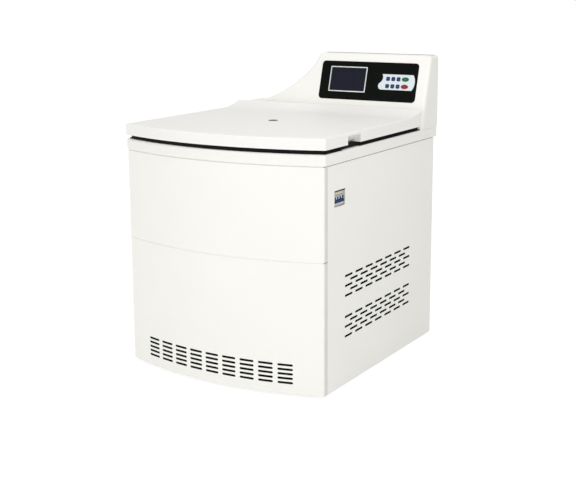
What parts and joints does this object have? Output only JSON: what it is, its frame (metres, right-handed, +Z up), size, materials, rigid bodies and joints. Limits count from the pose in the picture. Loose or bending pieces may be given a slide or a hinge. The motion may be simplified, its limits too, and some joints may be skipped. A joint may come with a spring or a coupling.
{
  "type": "refrigerated centrifuge",
  "caption": "Floor-standing refrigerated centrifuge: bowed cabinet with vent slots, hinged lid over a bowl and swing-out rotor, raised control console with a swept flank.",
  "frame": {"origin": "middle of the footprint's bounding box, on the floor", "axes": "+X to the machine's right seen from the front, +Y to the rear, +Z up"},
  "size_m": [0.862, 0.9948, 1.154],
  "materials": {
    "panel_paint": "fine-textured off-white powder coat",
    "deck_paint": "fine-textured off-white powder coat",
    "lid_paint": "satin off-white paint",
    "console_paint": "satin off-white paint",
    "frame_steel": "grey primer on steel",
    "armour_steel": "dark primer on thick steel",
    "pad_rubber": "matt black rubber",
    "gland_plastic": "black nylon",
    "bowl_steel": "spun stainless steel",
    "copper": "drawn copper, dulled",
    "foam": "pale yellow rigid foam",
    "bright_steel": "ground steel",
    "rotor_aluminium": "machined and anodised",
    "bucket_aluminium": "machined and anodised",
    "motor_paint": "black enamel",
    "condenser_aluminium": "bare fin stock",
    "shroud_steel": "zinc-plated sheet",
    "fan_plastic": "black moulded plastic",
    "liner_plastic": "white sheet",
    "port_black": "black moulded ring",
    "port_glass": "dark clear disc",
    "fascia_black": "high-gloss black panel",
    "bezel_silver": "bright satin silver",
    "screen_glass": "dark unlit display",
    "plate_pale": "pale blue-white overlay",
    "key_blue": "dark blue key caps",
    "key_green": "green key cap",
    "key_red": "red key cap",
    "board_green": "solder mask",
    "breaker_beige": "pale moulded body",
    "lever_blue": "blue toggle"
  },
  "bodies": {
    "cabinet": {"side_panel_left": "panel_paint", "side_panel_right": "panel_paint", "front_panel_upper": "panel_paint", "front_panel_lower": "panel_paint", "rear_panel": "panel_paint", "deck": "deck_paint", "console_housing": "console_paint", "console_back": "console_paint", "base_pan": "frame_steel", "corner_posts": "frame_steel", "motor_pillars": "frame_steel", "motor_plate": "frame_steel", "hinge_brackets": "frame_steel", "lock_actuator": "frame_steel", "armour_ring": "armour_steel", "rest_pads": "pad_rubber", "motor_dampers": "pad_rubber", "chamber_gasket": "pad_rubber", "cable_gland": "gland_plastic", "chamber_bowl": "bowl_steel", "evaporator_coil": "copper", "refrigerant_pipes": "copper", "chamber_insulation": "foam", "hinge_shaft": "bright_steel", "drive_motor": "motor_paint", "fan_motor": "motor_paint", "compressor": "motor_paint", "condenser": "condenser_aluminium", "inverter_drive": "condenser_aluminium", "fan_shroud": "shroud_steel", "console_fascia": "fascia_black", "display_bezel": "bezel_silver", "display_screen": "screen_glass", "keypad_plate": "plate_pale", "control_board": "board_green", "breaker_body": "breaker_beige"},
    "lid": {"lid_shell": "lid_paint", "lid_liner": "liner_plastic", "sight_port_bezel": "port_black", "sight_port_glass": "port_glass", "lid_strikers": "bright_steel", "lid_hinge_arms": "bright_steel"},
    "lock": {"lock_shaft": "bright_steel"},
    "rotor": {"drive_shaft": "bright_steel", "swing_rotor": "rotor_aluminium", "rotor_nut": "bright_steel"},
    "bucket_1": {"bucket_1": "bucket_aluminium"},
    "bucket_2": {"bucket_2": "bucket_aluminium"},
    "bucket_3": {"bucket_3": "bucket_aluminium"},
    "bucket_4": {"bucket_4": "bucket_aluminium"},
    "fan": {"condenser_fan": "fan_plastic"},
    "breaker_toggle": {"breaker_lever": "lever_blue"},
    "key_1": {"key_1": "key_blue"},
    "key_2": {"key_2": "key_blue"},
    "key_3": {"key_3": "key_blue"},
    "key_4": {"key_4": "key_blue"},
    "key_5": {"key_5": "key_blue"},
    "key_6": {"key_6": "key_blue"},
    "key_start": {"key_start": "key_green"},
    "key_stop": {"key_stop": "key_red"}
  },
  "joints": [
    {"name": "lid_hinge", "type": "hinge", "parent": "cabinet", "child": "lid", "pos_m": [0, 0.32435, 0.925], "axis": [-1, 0, 0], "range_deg": [0, 75]},
    {"name": "lock_turn", "type": "hinge", "parent": "cabinet", "child": "lock", "pos_m": [0, -0.45165, 0.8285], "axis": [1, 0, 0], "range_deg": [-45, 0]},
    {"name": "rotor_spin", "type": "hinge", "parent": "cabinet", "child": "rotor", "pos_m": [0, -0.06365, 0.69], "axis": [0, 0, 1], "continuous": true},
    {"name": "bucket_1_swing", "type": "hinge", "parent": "rotor", "child": "bucket_1", "pos_m": [0.16, -0.06365, 0.69], "axis": [0, -1, 0], "range_deg": [0, 90]},
    {"name": "bucket_2_swing", "type": "hinge", "parent": "rotor", "child": "bucket_2", "pos_m": [0, 0.09635, 0.69], "axis": [1, 0, 0], "range_deg": [0, 90]},
    {"name": "bucket_3_swing", "type": "hinge", "parent": "rotor", "child": "bucket_3", "pos_m": [-0.16, -0.06365, 0.69], "axis": [0, 1, 0], "range_deg": [0, 90]},
    {"name": "bucket_4_swing", "type": "hinge", "parent": "rotor", "child": "bucket_4", "pos_m": [0, -0.22365, 0.69], "axis": [-1, 0, 0], "range_deg": [0, 90]},
    {"name": "fan_spin", "type": "hinge", "parent": "cabinet", "child": "fan", "pos_m": [0, -0.35335, 0.19], "axis": [0, 1, 0], "continuous": true},
    {"name": "breaker_switch", "type": "hinge", "parent": "cabinet", "child": "breaker_toggle", "pos_m": [0.412, -0.30365, 0.705], "axis": [0, -1, 0], "range_deg": [0, 70]},
    {"name": "key_1_press", "type": "slide", "parent": "cabinet", "child": "key_1", "axis": [0, 0.9621, -0.2728], "range_m": [0, 0.0006], "stiffness_N_per_m": 800},
    {"name": "key_2_press", "type": "slide", "parent": "cabinet", "child": "key_2", "axis": [0, 0.9621, -0.2728], "range_m": [0, 0.0006], "stiffness_N_per_m": 800},
    {"name": "key_3_press", "type": "slide", "parent": "cabinet", "child": "key_3", "axis": [0, 0.9621, -0.2728], "range_m": [0, 0.0006], "stiffness_N_per_m": 800},
    {"name": "key_4_press", "type": "slide", "parent": "cabinet", "child": "key_4", "axis": [0, 0.9621, -0.2728], "range_m": [0, 0.0006], "stiffness_N_per_m": 800},
    {"name": "key_5_press", "type": "slide", "parent": "cabinet", "child": "key_5", "axis": [0, 0.9621, -0.2728], "range_m": [0, 0.0006], "stiffness_N_per_m": 800},
    {"name": "key_6_press", "type": "slide", "parent": "cabinet", "child": "key_6", "axis": [0, 0.9621, -0.2728], "range_m": [0, 0.0006], "stiffness_N_per_m": 800},
    {"name": "key_start_press", "type": "slide", "parent": "cabinet", "child": "key_start", "axis": [0, 0.9621, -0.2728], "range_m": [0, 0.0006], "stiffness_N_per_m": 800},
    {"name": "key_stop_press", "type": "slide", "parent": "cabinet", "child": "key_stop", "axis": [0, 0.9621, -0.2728], "range_m": [0, 0.0006], "stiffness_N_per_m": 800}
  ]
}
